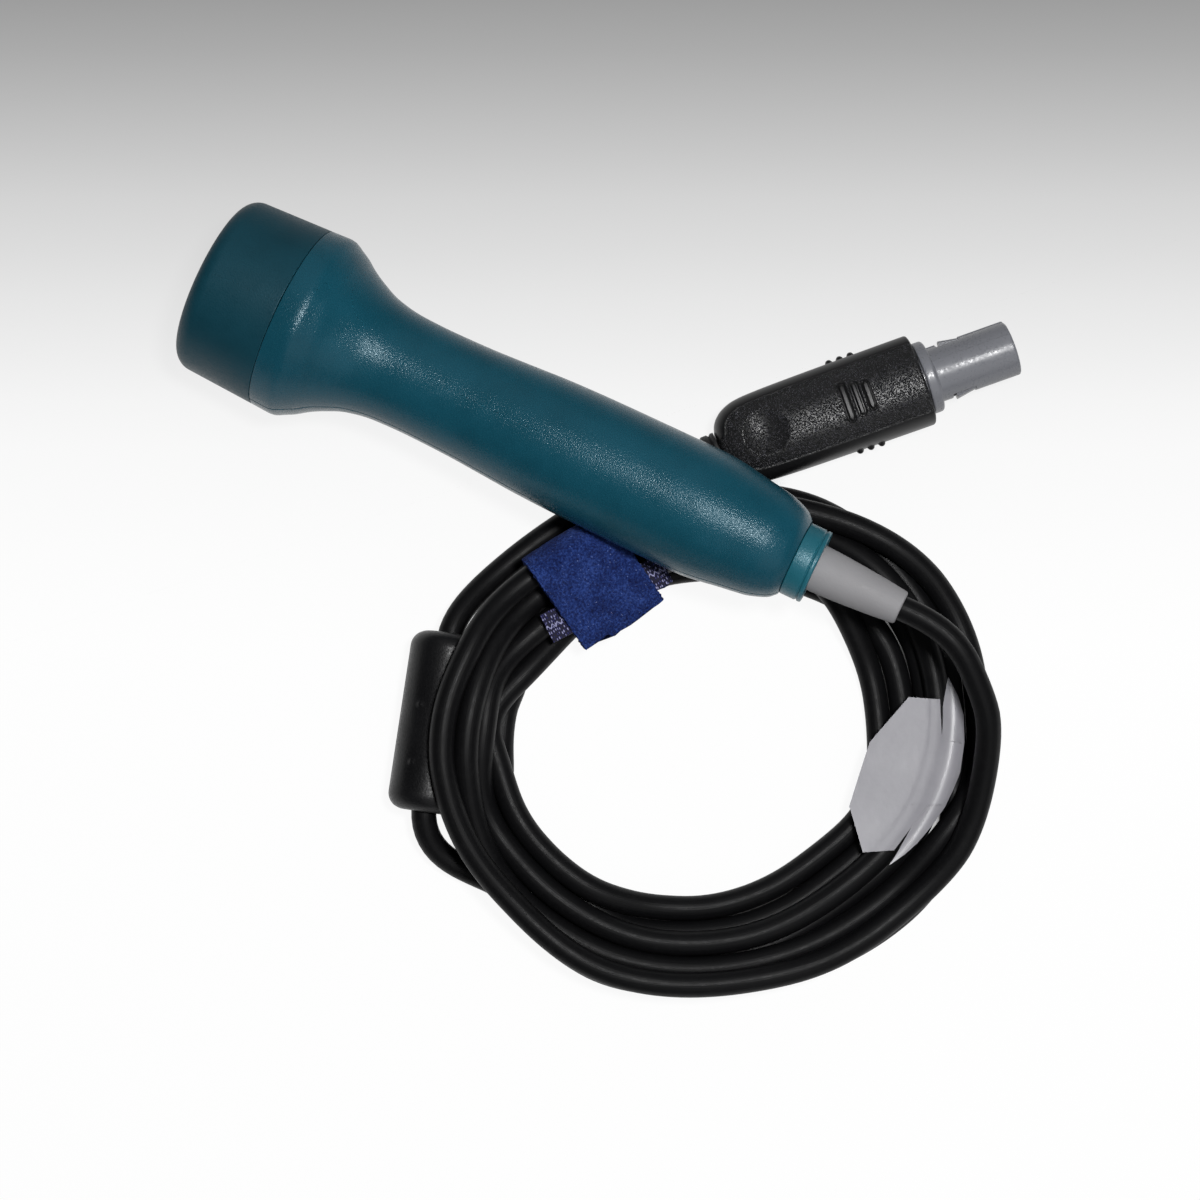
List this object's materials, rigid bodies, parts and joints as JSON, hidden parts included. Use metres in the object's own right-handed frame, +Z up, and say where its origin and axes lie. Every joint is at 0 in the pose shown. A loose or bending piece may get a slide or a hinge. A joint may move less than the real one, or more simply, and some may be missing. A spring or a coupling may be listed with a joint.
{
  "type": "fetal monitor transducer",
  "caption": "Hand-held fetal Doppler probe: round flared head on a waisted handle, with a coiled lead, ferrite bead, cloth tie and push-pull plug.",
  "frame": {"origin": "on the surface that the probe lies on, under the middle of the probe's own length from its acoustic face to the tip of its strain relief; the lead, its coil and its plug aren't counted", "axes": "+X along the probe from its acoustic face to its strain relief, +Z up from the surface, +Y to the side where the plug lies"},
  "size_m": [0.1713, 0.1427, 0.035],
  "materials": {
    "teal_head": "dark teal moulded plastic, satin with a fine grain",
    "teal_handle": "teal moulded plastic, satin with a fine grain",
    "teal_collar": "brighter teal moulded plastic, satin",
    "grey_soft": "soft light grey elastomer, matte",
    "grey_nose": "grey moulded plastic, satin",
    "black_plastic": "black moulded plastic with a coarse grain",
    "black_jacket": "black cable jacket, satin",
    "blue_cloth": "royal blue hook-and-loop cloth, brushed",
    "white_film": "white polyester film, semi-gloss",
    "black_rubber": "black soft moulding, matte",
    "ceramic": null,
    "white_plastic": "natural white plastic",
    "foam": null,
    "board_laminate": "green coated glass laminate",
    "ferrite": null,
    "wire_insulation": "red wire insulation",
    "contact_metal": "gold-flashed brass"
  },
  "bodies": {
    "root": {"head_cap": "teal_head", "upper_shell": "teal_handle", "lower_shell": "teal_handle", "end_collar": "teal_collar", "strain_relief": "grey_soft", "face_seal": "black_rubber", "transmit_crystal": "ceramic", "receive_crystal": "ceramic", "crystal_holder": "white_plastic", "backing_foam": "foam", "circuit_board": "board_laminate", "amplifier_chip": "black_plastic", "wire_header": "white_plastic", "transmit_coil": "ferrite", "receive_coil": "ferrite", "transmit_lead": "black_jacket", "receive_lead": "black_jacket", "core_wire_1": "wire_insulation", "core_wire_2": "wire_insulation", "core_wire_3": "wire_insulation", "core_wire_4": "wire_insulation", "cable_tie": "white_plastic", "cable_probe_lead": "black_jacket", "cable_coil": "black_jacket", "cable_plug_lead": "black_jacket", "strap": "blue_cloth", "label_flag": "white_film", "bead_cover": "black_plastic", "ferrite_core": "ferrite", "plug_grip": "black_plastic", "plug_boot": "black_rubber", "plug_shell": "grey_nose", "contact_insert": "black_plastic", "contact_pin_1": "contact_metal", "contact_pin_2": "contact_metal", "contact_pin_3": "contact_metal", "contact_pin_4": "contact_metal", "contact_pin_5": "contact_metal", "contact_pin_6": "contact_metal"}
  },
  "joints": []
}
